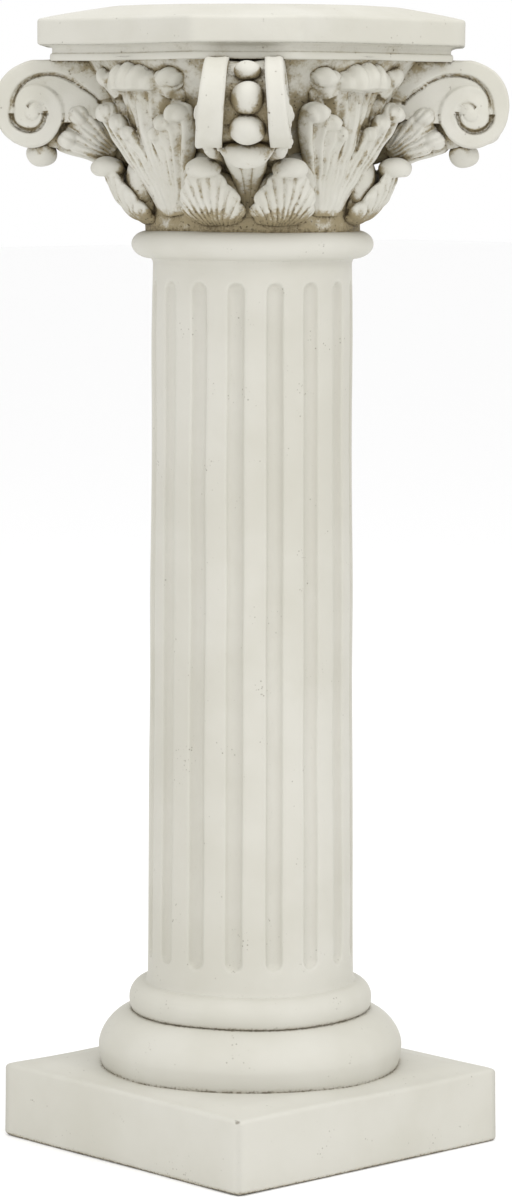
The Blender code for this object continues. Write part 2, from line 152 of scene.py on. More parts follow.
# Result of modifiers on a part. Each step is a kind and its settings, and the last one leaves faces that all
# have the same number of sides.
def worked(part, steps):
    mesh = meshOf("rough", part)
    item = bpy.data.objects.new("rough", mesh)
    bpy.context.scene.collection.objects.link(item)
    for kind, settings in steps:
        step = item.modifiers.new("step", kind)
        for key, value in settings.items():
            setattr(step, key, value)
    done = item.evaluated_get(bpy.context.evaluated_depsgraph_get()).to_mesh()
    points = np.zeros(len(done.vertices) * 3, np.float32)
    done.vertices.foreach_get("co", points)
    corners = np.zeros(len(done.loops), np.int32)
    done.loops.foreach_get("vertex_index", corners)
    sides = len(done.polygons[0].vertices)
    faces = {4: np.zeros((0, 4), int), 3: np.zeros((0, 3), int)}
    faces[sides] = corners.reshape(-1, sides)
    bpy.data.objects.remove(item)
    bpy.data.meshes.remove(mesh)
    return points.reshape(-1, 3).astype(float), faces[4], faces[3]


# Forms that were cut from one block: the overlapping parts are melted together on a grid of voxels as fine as
# the grain, and rubbed smooth.
def carved(parts, grain, rubs):
    melt = ("REMESH", {"mode": "VOXEL", "voxel_size": grain})
    rub = ("SMOOTH", {"factor": 0.5, "iterations": rubs})
    return worked(joined(parts), [melt, rub])


# Same shape with a share of its faces, the others taken out where it is flattest.
def thinned(part, keep):
    return worked(part, [("DECIMATE", {"ratio": keep, "use_collapse_triangulate": True})])


# Pieces are kept inside the CAD model's box, which the unevenness would leave by a fraction of a millimetre.
def addPiece(name, parts, material):
    points, quads, tris = joined(parts)
    low, high = np.array(cadBox[0]), np.array(cadBox[1])
    mesh = meshOf(name, (np.clip(points, low, high), quads, tris))
    mesh.shade_smooth()
    mesh.materials.append(material)
    item = bpy.data.objects.new(name, mesh)
    bpy.context.scene.collection.objects.link(item)
    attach(item, "root")
    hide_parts("pedestal")
    print("made", name, "with", sum(len(face.vertices) - 2 for face in mesh.polygons), "triangles")


# Ellipsoid, its rings stacked along Z. Below the height flat it keeps only a small share of its depth.
def pebble(place, size, flat=-1.0, across=28, down=16):
    pole, kept = 0.02, 0.15
    a = np.linspace(0, 2 * np.pi, across, endpoint=False)
    b = np.linspace(pole, np.pi - pole, down)[:, None]
    grid = np.stack([np.sin(b) * np.cos(a), np.sin(b) * np.sin(a), -np.cos(b) + 0 * a], -1)
    grid = grid * np.asarray(size) + np.asarray(place)
    grid[..., 2] = np.maximum(grid[..., 2], flat + kept * (grid[..., 2] - flat))
    return skin(grid)


lobeForm = {
    "tipFloor": 0.004, "oval": 0.85, "hollowHalf": 0.42, "hollowFrom": (0.15, 0.85), "notchFrom": (0.05, 0.3),
}


# Lobe of a leaf: an oval section carried along a smooth path of rows (out, across, up, half width). The half
# width closes at the tip as the root of 1 - t^2, and the section is as thick as its share of it. The front has
# a hollow of exp(-(w / half)^2) down its middle. It stands at right angles to Y, or looks towards facing.
# Notches are a count and a depth, and cut the edges into scallops, each the root of |sin|.
def lobe(path, thick=0.55, hollow=0.3, tip=0.22, across=20, along=34, facing=None, notches=(0, 0.0)):
    f = lobeForm
    line = spline(path, along)
    centre, half = line[:, :3], line[:, 3]
    ahead = unit(np.gradient(centre, axis=0))
    if facing is None:
        front = unit(np.cross([0.0, 1.0, 0.0], ahead))
    else:
        front = unit(np.asarray(facing) - ahead * (ahead @ np.asarray(facing))[:, None])
    side = np.cross(ahead, front)
    run = np.linspace(0, 1, along)
    t = np.clip((run - (1 - tip)) / tip, 0, 1)
    half = half * np.sqrt(np.maximum(1 - t ** 2, f["tipFloor"]))
    count, cut = notches
    if count:
        scallop = 1 - np.abs(np.sin(np.pi * count * run)) ** 0.5
        half = half * (1 - cut * scallop * eased(*f["notchFrom"], run))
    a = np.linspace(0, 2 * np.pi, across, endpoint=False)
    wide = np.sign(np.cos(a)) * np.abs(np.cos(a)) ** f["oval"]
    high = np.sin(a)
    sunken = hollow * np.exp(-(wide / f["hollowHalf"]) ** 2) * (high > 0)
    high = high * (1 - sunken * eased(*f["hollowFrom"], run)[:, None])
    rings = (centre[:, None] + side[:, None] * (half[:, None] * wide)[..., None]
             + front[:, None] * (half[:, None] * thick * high)[..., None])
    return skin(rings)


# Same shapes bent back round the bell: each point moves in by its distance across, squared, times the bend.
def wrapped(part, bend):
    points = part[0].copy()
    points[:, 0] -= bend * points[:, 1] ** 2
    return points, part[1], part[2]


# Share of a vein's depth, for veins that fan out from a point: (1/2 - cos(2 pi turn / step) / 2)^sharp, the
# turn being the angle about that point in degrees.
def veinShare(across, along, step, sharp):
    turn = np.degrees(np.arctan2(across, along))
    return (0.5 - 0.5 * np.cos(2 * np.pi * turn / step)) ** sharp


# Half-round moulding up a profile: |x|^f + |y|^f = 1 below and above its widest level.
def moulding(lowRadius, wideRadius, highRadius, foot, height, wideAt, count, fullness=2.0):
    turn = np.linspace(-np.pi / 2, np.pi / 2, count)
    side = np.cos(turn) ** (2 / fullness)
    rise = np.sign(turn) * np.abs(np.sin(turn)) ** (2 / fullness)
    near = np.where(turn < 0, lowRadius, highRadius)
    wide = foot + height * wideAt
    up = np.where(turn < 0, wide + rise * (wide - foot), wide + rise * (foot + height - wide))
    return np.stack([near + (wideRadius - near) * side, up], -1)


# Shader maths: operators on sockets add Math nodes, and node() makes any other node.
class Shade:
    def __init__(self, tree, socket=None):
        self.tree = tree
        self.socket = socket

    def node(self, kind, settings=None, sockets=None, out=0):
        made = self.tree.nodes.new(kind)
        for key, value in (settings or {}).items():
            setattr(made, key, value)
        for key, value in (sockets or {}).items():
            if isinstance(value, Shade):
                self.tree.links.new(value.socket, made.inputs[key])
            else:
                made.inputs[key].default_value = value
        return Shade(self.tree, made.outputs[out])

    def maths(self, operation, first, second=0.0):
        return self.node("ShaderNodeMath", {"operation": operation}, {0: first, 1: second})

    def __add__(self, other):
        return self.maths("ADD", self, other)

    def __radd__(self, other):
        return self.maths("ADD", other, self)

    def __sub__(self, other):
        return self.maths("SUBTRACT", self, other)

    def __rsub__(self, other):
        return self.maths("SUBTRACT", other, self)

    def __mul__(self, other):
        return self.maths("MULTIPLY", self, other)

    def __rmul__(self, other):
        return self.maths("MULTIPLY", other, self)

    def between(self, low, high):
        return self.node("ShaderNodeMapRange", {"interpolation_type": "SMOOTHSTEP"},
                         {"Value": self, "From Min": low, "From Max": high})

    def tint(self, share, first, second):
        return self.node("ShaderNodeMix", {"data_type": "RGBA"}, {0: share, 6: first, 7: second}, out=2)


# Cream cast stone with a brown wash in the hollows: hollow = 1 - occlusion + neck - a share on faces
# that look up, and noise added to it before the smooth step makes the brown end raggedly. As it follows the
# occlusion, the brown is partly the stone's real wash and partly painted shade. Creases darken the same way
# on a shorter reach, partly with dirt and partly with painted shade, and pits are the middles of Voronoi
# cells.
def castStone(name, look):
    material = bpy.data.materials.new(name)
    material.use_nodes = True
    tree = material.node_tree
    shader = tree.nodes["Principled BSDF"]
    s = Shade(tree)
    place = s.node("ShaderNodeTexCoord", out=3)
    normal = s.node("ShaderNodeTexCoord", out=1)

    def noise(scale, detail, rough=0.55):
        return s.node("ShaderNodeTexNoise", None,
                      {"Vector": place, "Scale": scale, "Detail": detail, "Roughness": rough})

    def occlusion(reach, samples):
        return s.node("ShaderNodeAmbientOcclusion", {"samples": samples}, {"Distance": reach}, out=1)

    up = s.node("ShaderNodeSeparateXYZ", None, {0: place}, out=2)
    facing = s.node("ShaderNodeSeparateXYZ", None, {0: normal}, out=2)
    # faces that look up get less of the brown wash and painted shade, so they come out lighter
    upFacingLess = facing.between(*look["upFacingFrom"]) * look["upFacingLess"]
    clouds = noise(look["cloudScale"], 4.0).between(*look["cloudFrom"])
    blotches = noise(look["cloudScale"] * look["blotchesPerCloud"], 5.0, 0.62)
    specks = noise(look["speckScale"], 4.0, 0.7)
    sand = noise(look["sandScale"], 2.0)
    lumps = noise(look["lumpScale"], 4.0, 0.6)
    cells = s.node("ShaderNodeTexVoronoi", None,
                   {"Vector": place, "Scale": look["holeScale"], "Randomness": 1.0})
    neck = up.between(*look["neckFoot"]) * (1.0 - up.between(*look["neckTop"]))
    # painted shade: the brown is laid where the ambient occlusion is low, along with the stone's real wash
    hollow = 1.0 - occlusion(look["washAndShadeReach"], 12) + neck * look["neckWashAndShade"] - upFacingLess
    # creases: dark laid where the short-reach occlusion is low, partly dirt and partly painted shade
    tight = 1.0 - occlusion(look["creaseReach"], 8) + neck * look["neckWashAndShade"] * look["neckCrease"]
    ragged = (blotches - 0.5) * look["washAndShadeBreak"] + (specks - 0.5) * look["speckBreak"]
    washAndShade = (hollow + ragged).between(*look["washAndShadeFrom"])
    creased = (tight + (specks - 0.5) * look["creaseBreak"]).between(*look["creaseFrom"])
    peppered = blotches.between(*look["pepperFrom"]) * look["holeShare"] + washAndShade * look["holeWashAndShade"]
    pitted = (1.0 - cells.between(*look["holeSize"])) * peppered.between(*look["holeFrom"])
    away = s.node("ShaderNodeVectorMath", {"operation": "DISTANCE"}, {0: place, 1: look["chip"]}, out=1)
    chipped = 1.0 - (away + (lumps - 0.5) * look["chipBreak"]).between(*look["chipSize"])

    tone = s.tint(clouds, look["cream"], look["warm"])
    # brown in the hollows: partly real wash, partly painted shade
    tone = s.tint(washAndShade * look["washAndShadeAmount"], tone, look["brown"])
    # dirt and painted shade in the creases
    tone = s.tint(creased * look["crease"], tone, look["dark"])
    tone = s.tint(pitted * look["holeTone"], tone, look["dark"])
    tone = s.tint(chipped * look["chipTone"], tone, look["dark"])
    rough = look["rough"] + clouds * look["cloudRough"] + washAndShade * look["washAndShadeRough"]
    rough = rough + (sand - 0.5) * look["sandRough"]
    height = sand * look["sandHeight"] + lumps * look["lumpHeight"]
    height = height - pitted * look["holeDepth"] - chipped * look["chipDepth"]
    bump = s.node("ShaderNodeBump", None,
                  {"Strength": look["bump"], "Distance": look["bumpStep"], "Height": height})
    tree.links.new(tone.socket, shader.inputs["Base Color"])
    tree.links.new(rough.socket, shader.inputs["Roughness"])
    tree.links.new(bump.socket, shader.inputs["Normal"])
    shader.inputs["Specular IOR Level"].default_value = look["specular"]
    return material


# Scales are in cells per metre, reaches in metres, and a pair is where a mask starts and where it is full.
plainLook = {
    "cream": (0.500, 0.486, 0.424, 1), "warm": (0.552, 0.539, 0.484, 1),
    # brown: real wash and painted shade in the hollows; dark: creases (dirt and painted shade), pits and chip
    "brown": (0.255, 0.205, 0.110, 1), "dark": (0.075, 0.054, 0.026, 1),
    "cloudScale": 9.0, "cloudFrom": (0.32, 0.68), "blotchesPerCloud": 5.5,
    # wash: brown laid where the occlusion is low, partly real wash and partly painted shade
    "washAndShadeAmount": 0.50, "washAndShadeReach": 0.008, "washAndShadeFrom": (0.34, 0.80), "washAndShadeBreak": 0.7,
    # crease: dark on a shorter reach, partly dirt and partly painted shade
    "crease": 0.66, "creaseReach": 0.0034, "creaseFrom": (0.46, 0.72), "creaseBreak": 2.4,
    "upFacingLess": 0.0, "upFacingFrom": (-0.15, 0.60), "speckScale": 520.0, "speckBreak": 0.5,
    "neckWashAndShade": 0.0, "neckCrease": 0.5, "neckFoot": (0.6470, 0.6530), "neckTop": (0.6600, 0.6720),
    "holeScale": 330.0, "holeSize": (0.10, 0.26), "holeFrom": (0.30, 0.80), "pepperFrom": (0.52, 0.66),
    "holeShare": 0.60, "holeWashAndShade": 0.7, "holeTone": 0.75, "holeDepth": 0.9,
    "chip": (0.1218, -0.1255, 0.0530), "chipSize": (0.0018, 0.0034), "chipBreak": 0.006,
    "chipTone": 0.6, "chipDepth": 1.5,
    "rough": 0.60, "cloudRough": 0.08, "washAndShadeRough": 0.15, "sandRough": 0.10, "specular": 0.35,
    "bump": 0.35, "bumpStep": 0.0006, "sandScale": 1400.0, "sandHeight": 0.10,
    "lumpScale": 220.0, "lumpHeight": 0.35,
}
# only the plinth has the chip: here its place is the origin, which these pieces don't reach
carvedLook = dict(
    plainLook, cloudScale=22.0, washAndShadeAmount=0.93, washAndShadeReach=0.018, washAndShadeFrom=(0.18, 0.52), washAndShadeBreak=1.2,
    crease=0.82, creaseReach=0.0050, creaseFrom=(0.34, 0.66), creaseBreak=1.4, upFacingLess=0.36, neckWashAndShade=0.40,
    holeWashAndShade=0.9, bump=0.85, chip=(0.0, 0.0, 0.0),
)
abacusLook = dict(
    carvedLook, cloudScale=12.0, washAndShadeAmount=0.62, washAndShadeReach=0.009, washAndShadeFrom=(0.34, 0.80), crease=0.60,
    creaseReach=0.0034, upFacingLess=0.0,
)
plainStone = castStone("castStonePlain", plainLook)
carvedStone = castStone("castStoneCarved", carvedLook)
abacusStone = castStone("castStoneAbacus", abacusLook)
print("materials ready")

plinth = {
    "half": 0.1257, "height": 0.0528, "edge": 0.0035, "foot": 0.0034, "cornerRound": 0.0026,
    # the top rises by the crown between these two distances from its edge, and is built as far in as reach
    "crown": 0.0030, "crownFrom": (0.004, 0.024), "reach": 0.058, "underside": 0.06,
    "unevenness": (0.13, 0.0004),
}


# Square block: a circle over its greater coordinate is the square plan, and is carried up a profile of
# (inset, height) whose foot and edge are quarter circles.
def plinthSkin():
    p = plinth
    around = np.linspace(0, 2 * np.pi, 4 * 56, endpoint=False) + np.pi / 4
    greater = np.maximum(np.abs(np.cos(around)), np.abs(np.sin(around)))
    plan = np.stack([np.cos(around), np.sin(around)], -1) / greater[:, None]
    e, f = p["edge"], p["foot"]
    turn = np.linspace(0, np.pi / 2, 7)
    low = np.stack([f * (1 - np.sin(turn)), f * (1 - np.cos(turn))], -1)
    side = np.stack([np.zeros(14), np.linspace(f, p["height"] - e, 16)[1:-1]], -1)
    high = np.stack([e * (1 - np.cos(turn)), p["height"] - e * (1 - np.sin(turn))], -1)
    inset = np.linspace(e, p["reach"], 24)[1:]
    top = np.stack([inset, p["height"] + p["crown"] * eased(*p["crownFrom"], inset)], -1)
    profile = np.concatenate([[[p["underside"], 0.0]], low, side, high, top])
    size = (p["half"] - profile[:, 0])[:, None, None]
    flat = plan[None] * size
    # the upright corners are rounded: points past half - r on both axes slide onto a quarter circle
    r = np.minimum(p["cornerRound"], size)
    past = np.maximum(np.abs(flat) - (size - r), 0)
    length = np.linalg.norm(past, axis=-1, keepdims=True)
    past = past * np.minimum(1, r / np.maximum(length, 1e-9))
    flat = np.sign(flat) * (np.minimum(np.abs(flat), size - r) + past)
    up = np.broadcast_to(profile[:, None, 1:], flat.shape[:2] + (1,))
    return skin(np.concatenate([flat, up], -1))


addPiece("plinthBlock", [uneven(plinthSkin(), *plinth["unevenness"])], plainStone)

column = {
    "foot": 0.0485, "lowerAt": 0.0515, "lowerFoot": 0.1035, "lowerWide": 0.1088, "lowerTop": 0.0850,
    "lowerHeight": 0.0440, "lowerWideAt": 0.42, "lowerFullness": 1.7,
    "upperAt": 0.0955, "upperWide": 0.0868, "upperHeight": 0.0215, "upperWideAt": 0.40, "quirk": 0.0015,
    "baseTop": 0.1170, "shaftFoot": 0.0738, "shaftTop": 0.0703, "shaftEnd": 0.6320, "taper": 0.85,
    "astragalWide": 0.0856, "astragalHeight": 0.0195, "astragalWideAt": 0.52, "neck": 0.0738,
    # radius and height beyond the shaft's foot, beyond its end, and radius beyond the neck with its height
    "footFillet": [(0.0014, 0), (0.0009, 0.0006), (0.0004, 0.0018)],
    "endFillet": [(0.0004, -0.0018), (0.0010, -0.0006), (0.0016, 0)],
    "neckRun": [(-0.0006, 0.6530), (-0.0012, 0.6575), (-0.004, 0.661)],
    # flutes: their sizes, the radius they are laid out on, and places of points from the middle line
    "flutes": 16, "fluteTurn": 15.5, "fluteHalf": 0.00585, "fluteDepth": 0.0046, "fluteLow": 0.1350,
    "fluteHigh": 0.6165, "fluteRadius": 0.0718, "fluteSoft": 0.0064, "fluteLift": 0.003,
    "across": [0, .0016, .0032, .0045, .0052, .00565, .0061, .0066, .0074, .0088, .0106, .0125],
    "between": 0.0141,
    # rings keep clear of the fillets, are close from just beyond a flute's end to within it, and then sparse
    "clear": 0.0035, "before": 0.001, "beyond": 0.0004, "within": 0.0085, "sparseFrom": 0.012,
    "shaftMargin": 0.004, "unevenness": (0.09, 0.00025),
}


# Profile of (radius, height): two tori, the shaft, which narrows by the share of its height to the power of
# the taper, the astragal and the neck.
def columnProfile():
    c = column
    footOut, endOut = c["footFillet"][0][0], c["endFillet"][-1][0]
    lower = moulding(c["lowerFoot"], c["lowerWide"], c["lowerTop"], c["lowerAt"], c["lowerHeight"],
                     c["lowerWideAt"], 30, c["lowerFullness"])
    upper = moulding(c["lowerTop"] - c["quirk"], c["upperWide"], c["shaftFoot"] + footOut, c["upperAt"],
                     c["upperHeight"], c["upperWideAt"], 22)
    astragal = moulding(c["shaftTop"] + endOut, c["astragalWide"], c["neck"], c["shaftEnd"],
                        c["astragalHeight"], c["astragalWideAt"], 26)
    low, high = c["fluteLow"], c["fluteHigh"]
    up = np.concatenate([np.linspace(c["baseTop"] + c["clear"], low - c["before"], 6),
                         np.linspace(low - c["beyond"], low + c["within"], 16),
                         np.linspace(low + c["sparseFrom"], high - c["sparseFrom"], 18),
                         np.linspace(high - c["within"], high + c["beyond"], 16),
                         np.linspace(high + c["before"], c["shaftEnd"] - c["clear"], 5)])
    share = (up - c["baseTop"]) / (c["shaftEnd"] - c["baseTop"])
    shaft = np.stack([c["shaftFoot"] + (c["shaftTop"] - c["shaftFoot"]) * share ** c["taper"], up], -1)
    foot = np.array(c["footFillet"][1:]) + [c["shaftFoot"], c["baseTop"]]
    end = np.array(c["endFillet"][:-1]) + [c["shaftTop"], c["shaftEnd"]]
    neck = np.array(c["neckRun"]) + [c["neck"], 0]
    start = [[c["lowerFoot"] - 0.001, c["foot"]]]
    return np.concatenate([start, lower, upper, foot, shaft, end, astragal, neck])


# Turned profile with flutes: each flute sinks by the root of 1 - (d / half width)^2 of its depth, d being the
# distance to the flute's middle line, so that its ends are round.
def columnSkin():
    c = column
    profile = columnProfile()
    across = np.array(c["across"])
    across = np.concatenate([-across[:0:-1], across, [c["between"]]])
    middles = c["fluteTurn"] + 360 / c["flutes"] * np.arange(c["flutes"])
    angle = np.radians(middles[:, None] + np.degrees(across / c["fluteRadius"])).ravel()
    arc = np.tile(across, c["flutes"])
    radius, z = profile[:, :1], profile[:, 1:]
    low, high = c["fluteLow"] + c["fluteHalf"], c["fluteHigh"] - c["fluteHalf"]
    away = np.hypot(arc[None] * radius / c["fluteRadius"], z - np.clip(z, low, high)) / c["fluteHalf"]
    sunk = 1 - away ** 2
    # soft maximum of this and 0, which rounds the flutes' edges
    sunk = 0.5 * (sunk + np.sqrt(sunk ** 2 + c["fluteSoft"])) - c["fluteLift"]
    onShaft = (z > c["baseTop"] + c["shaftMargin"]) & (z < c["shaftEnd"] - c["shaftMargin"])
    radius = radius - c["fluteDepth"] * np.sqrt(np.maximum(sunk, 0)) * onShaft
    return skin(np.stack([radius * np.cos(angle), radius * np.sin(angle), z + 0 * radius], -1))


addPiece("flutedColumn", [uneven(columnSkin(), *column["unevenness"])], plainStone)

bell = {
    "foot": 0.6490, "top": 0.7715, "neck": 0.0756, "lip": 0.1165, "curve": 1.68, "flareFoot": 0.6615,
    "flareHeight": 0.107,
    # rough stone left standing between the leaves: place and size in the leaf's frame, and turn to each side
    "filler": ((0.0830, 0, 0.6880), (0.0110, 0.0120, 0.0190)), "fillerTurn": 20.5,
    "unevenness": (0.013, 0.0004),
}


# Bell radius: the neck's, plus the flare times the share of the height to the power of the curve.
def bellRadius(z):
    share = np.clip((z - bell["flareFoot"]) / bell["flareHeight"], 0, 1.2)
    return bell["neck"] + (bell["lip"] - bell["neck"]) * share ** bell["curve"]


# Rings of that radius.
def bellSkin():
    z = np.linspace(bell["foot"], bell["top"], 70)[:, None]
    a = np.linspace(0, 2 * np.pi, 240, endpoint=False)
    r = bellRadius(z) + 0 * a
    return skin(np.stack([r * np.cos(a), r * np.sin(a), z + 0 * a], -1))


fillers = [turned(pebble(*bell["filler"]), angle + turn) for angle in sideAngles
           for turn in (-bell["fillerTurn"], bell["fillerTurn"])]
addPiece("bell", [uneven(part, *bell["unevenness"]) for part in [bellSkin()] + fillers], carvedStone)

abacus = {
    "horn": 0.1485, "hornHalf": 0.0360, "hornSlope": 0.4142, "hollow": 0.0045, "diagonal": 0.70711,
    "foot": 0.7687, "under": [(0.040, 0.0004), (0.016, 0.0002)],
    "lipInset": 0.0082, "lipTop": 0.7738, "lipBulge": 0.0014, "lipFullness": 0.7, "quirk": (0.0001, 0.0006),
    "coveInset": 0.0098, "coveFoot": 0.7768, "coveDepth": 0.0084, "coveHeight": 0.0027,
    "fasciaFoot": 0.7797, "fasciaTop": 0.7980, "lowEdge": 0.0016, "highEdge": 0.0026, "flatFrom": 0.003,
    "flatTo": 0.004,
    "rimRadius": 0.1040, "rimTop": 0.8065, "rimWidth": 0.0045, "rimEdge": 0.0012, "rimFlat": 0.0008,
    "slope": 0.9, "dish": 0.0080, "dishBatter": 0.001, "dishRound": 0.003,
    "dishRings": (0.088, 0.07, 0.045, 0.02),
    "unevenness": (0.11, 0.00035),
}


# Plan with a straight cut across each corner and sides that sink by a parabola. Every side moves in by the
# inset, and the corners are softened by averaging each point with its neighbours.
def abacusPlan(inset):
    horn = abacus["horn"] - inset
    half = abacus["hornHalf"] - inset * abacus["hornSlope"]
    across = np.linspace(1, -1, 21)[:-1]
    share = np.linspace(0, 1, 49)[:-1]
    hornRun = np.stack([horn + 0 * across, -half * across], -1)
    start, end = np.array([horn, half]), np.array([half, horn])
    sink = abacus["hollow"] * 4 * share * (1 - share)
    inward = np.array([abacus["diagonal"], abacus["diagonal"]])
    sideRun = start + (end - start) * share[:, None] - sink[:, None] * inward
    quarter = np.concatenate([hornRun, sideRun])
    rows = []
    for degrees in cornerAngles:
        c, s = math.cos(math.radians(degrees)), math.sin(math.radians(degrees))
        rows.append(quarter @ np.array([[c, s], [-s, c]]))
    plan = np.concatenate(rows)
    for _ in range(2):
        plan = (np.roll(plan, 1, axis=0) + 2 * plan + np.roll(plan, -1, axis=0)) / 4
    return plan


# Profile of (inset, height) from the underside to the fascia's top: a half-round lip, a hollow cove and a
# fascia between two quarter-round edges.
def abacusProfile():
    a = abacus
    turn = np.linspace(0, np.pi, 13)
    quarter = np.linspace(0, np.pi / 2, 7)
    foot, top, low, high = a["fasciaFoot"], a["fasciaTop"], a["lowEdge"], a["highEdge"]
    under = np.array(a["under"]) + [0, a["foot"]]
    lipMiddle, lipHalf = (a["foot"] + a["lipTop"]) / 2, (a["lipTop"] - a["foot"]) / 2
    lip = np.stack([a["lipInset"] + a["lipBulge"] * (1 - np.sin(turn) ** a["lipFullness"]),
                    lipMiddle - lipHalf * np.cos(turn)], -1)
    quirk = [[a["coveInset"] - a["quirk"][0], a["lipTop"] + a["quirk"][1]]]
    cove = np.stack([a["coveInset"] - a["coveDepth"] * (1 - np.cos(quarter)),
                     a["coveFoot"] + a["coveHeight"] * np.sin(quarter)], -1)
    lowEdge = np.stack([low * (1 - np.sin(quarter)), foot + low * (1 - np.cos(quarter))], -1)
    face = np.stack([np.zeros(4), np.linspace(foot + a["flatFrom"], top - a["flatTo"], 4)], -1)
    highEdge = np.stack([high * (1 - np.cos(quarter)), top - high * (1 - np.sin(quarter))], -1)
    return np.concatenate([under, lip, quirk, cove, lowEdge, face, highEdge])


# Stack of plans up the profile. Above the fascia the plan goes over into the round rim in a straight line, and
# inside the rim are the rings (radius, height) of the dish.
def abacusSkin():
    a = abacus

    def ringAt(flat, height):
        return np.concatenate([flat, np.full((len(flat), 1), height)], -1)

    rings = [ringAt(abacusPlan(inset), height) for inset, height in abacusProfile().tolist()]
    edge = rings[-1][:, :2]
    angle = np.arctan2(edge[:, 1], edge[:, 0])
    circle = np.stack([np.cos(angle), np.sin(angle)], -1)
    for share in np.linspace(0, 1, 10)[1:]:
        flat = edge * (1 - share) + circle * a["rimRadius"] * share
        rings.append(ringAt(flat, a["fasciaTop"] + (a["rimTop"] - a["fasciaTop"]) * (share ** a["slope"])))
    ramp = np.linspace(0, np.pi / 2, 6)[1:]
    inner, floor = a["rimRadius"] - a["rimWidth"], a["rimTop"] - a["dish"]
    wall, e, r = inner - a["dishBatter"], a["rimEdge"], a["dishRound"]
    levels = [(a["rimRadius"] - a["rimFlat"], a["rimTop"]), (inner + e, a["rimTop"])]
    levels += [(inner + e - e * math.sin(t), a["rimTop"] - e * (1 - math.cos(t))) for t in ramp]
    levels += [(wall, floor + r)]
    levels += [(wall - r * (1 - math.cos(t)), floor + r * (1 - math.sin(t))) for t in ramp]
    levels += [(radius, floor) for radius in a["dishRings"]]
    rings += [ringAt(circle * radius, height) for radius, height in levels]
    return skin(np.stack(rings))


addPiece("abacus", [uneven(abacusSkin(), *abacus["unevenness"])], abacusStone)

volute = {
    "eyeOut": 0.1525, "eyeUp": 0.7330, "top": 0.0372, "stem": 0.0590,
    # distances sideways of the plate's face and of the gap between the plates, at the top and how much more
    # at the bottom, which is the fall below the top level; the gap stands aside by the lean
    "face": 0.0262, "faceSpread": 0.0062, "gap": 0.0122, "gapSpread": 0.0040, "lean": 0.0022,
    "topLevel": 0.7685, "fall": 0.0595,
    # radius of the outline by angle about the eye, 0 outwards and 90 up
    "rim": [(0, .0264), (20, .0284), (40, .0312), (59, .0337), (75, .0352), (90, .0373), (104, .0410),
            (122, .0650), (178, .0650), (189, .0360), (197, .0226), (206, .0216), (225, .0222), (270, .0240),
            (283, .0245), (301, .0243), (330, .0252)],
    # the groove between the windings: angle run from the stem, radius, half width, depth
    "groove": [(169.8, .0473, .0011, .0028), (153.2, .0391, .0011, .0028), (135.5, .0342, .0011, .0028),
               (120.3, .0311, .0011, .0028), (103.5, .0274, .0011, .0030), (73.1, .0220, .0012, .0028),
               (45, .0178, .0016, .0021), (16.7, .0149, .0018, .0021), (-24.3, .0150, .0017, .0021),
               (-81.7, .0124, .0016, .0019), (-151.5, .0092, .0014, .0016), (-192.3, .0087, .0013, .0015),
               (-256.7, .0072, .0011, .0014), (-304, .0052, .0010, .0018)],
    # the groove runs on past its ends by these angles; one lap ends and its neighbour is missing at the stem
    "grooveSharp": 0.92, "grooveOver": (6, 3), "lapEnd": 172, "outerEnd": 170,
    # outer edge of the inner coil, beyond which the web lies lower between these angles
    "coil": [(0, .0127), (30, .0148), (60, .0175), (90, .0190), (135, .0203), (180, .0212), (200, .0216),
             (210, .03)],
    "webDepth": 0.0020, "webStart": (8, 24), "webEnd": (206, 216), "webInner": (0.0004, 0.0010),
    "webOuter": 0.0008,
    "eyeSize": 0.0050, "eyeRise": 0.0018, "boss": 0.0016, "bossReach": (0.006, 0.0155),
    "edge": 0.0020, "gapEdge": 0.0012, "wallHollow": 0.0006, "backRings": [.985, .9, .6, .3, .05],
    # points stand closer together where the stem leaves the scroll: their numbers and their angles
    "spokes": ([0, 80, 230, 310], [0, 100, 200, 360]), "crowding": 1.35,
    "unevenness": (0.03, 0.0002),
}


# Straight runs through pairs of (angle, value).
def byAngle(pairs, degrees, period=None):
    pairs = np.array(sorted(pairs))
    return np.interp(degrees, pairs[:, 0], pairs[:, 1], period=period)


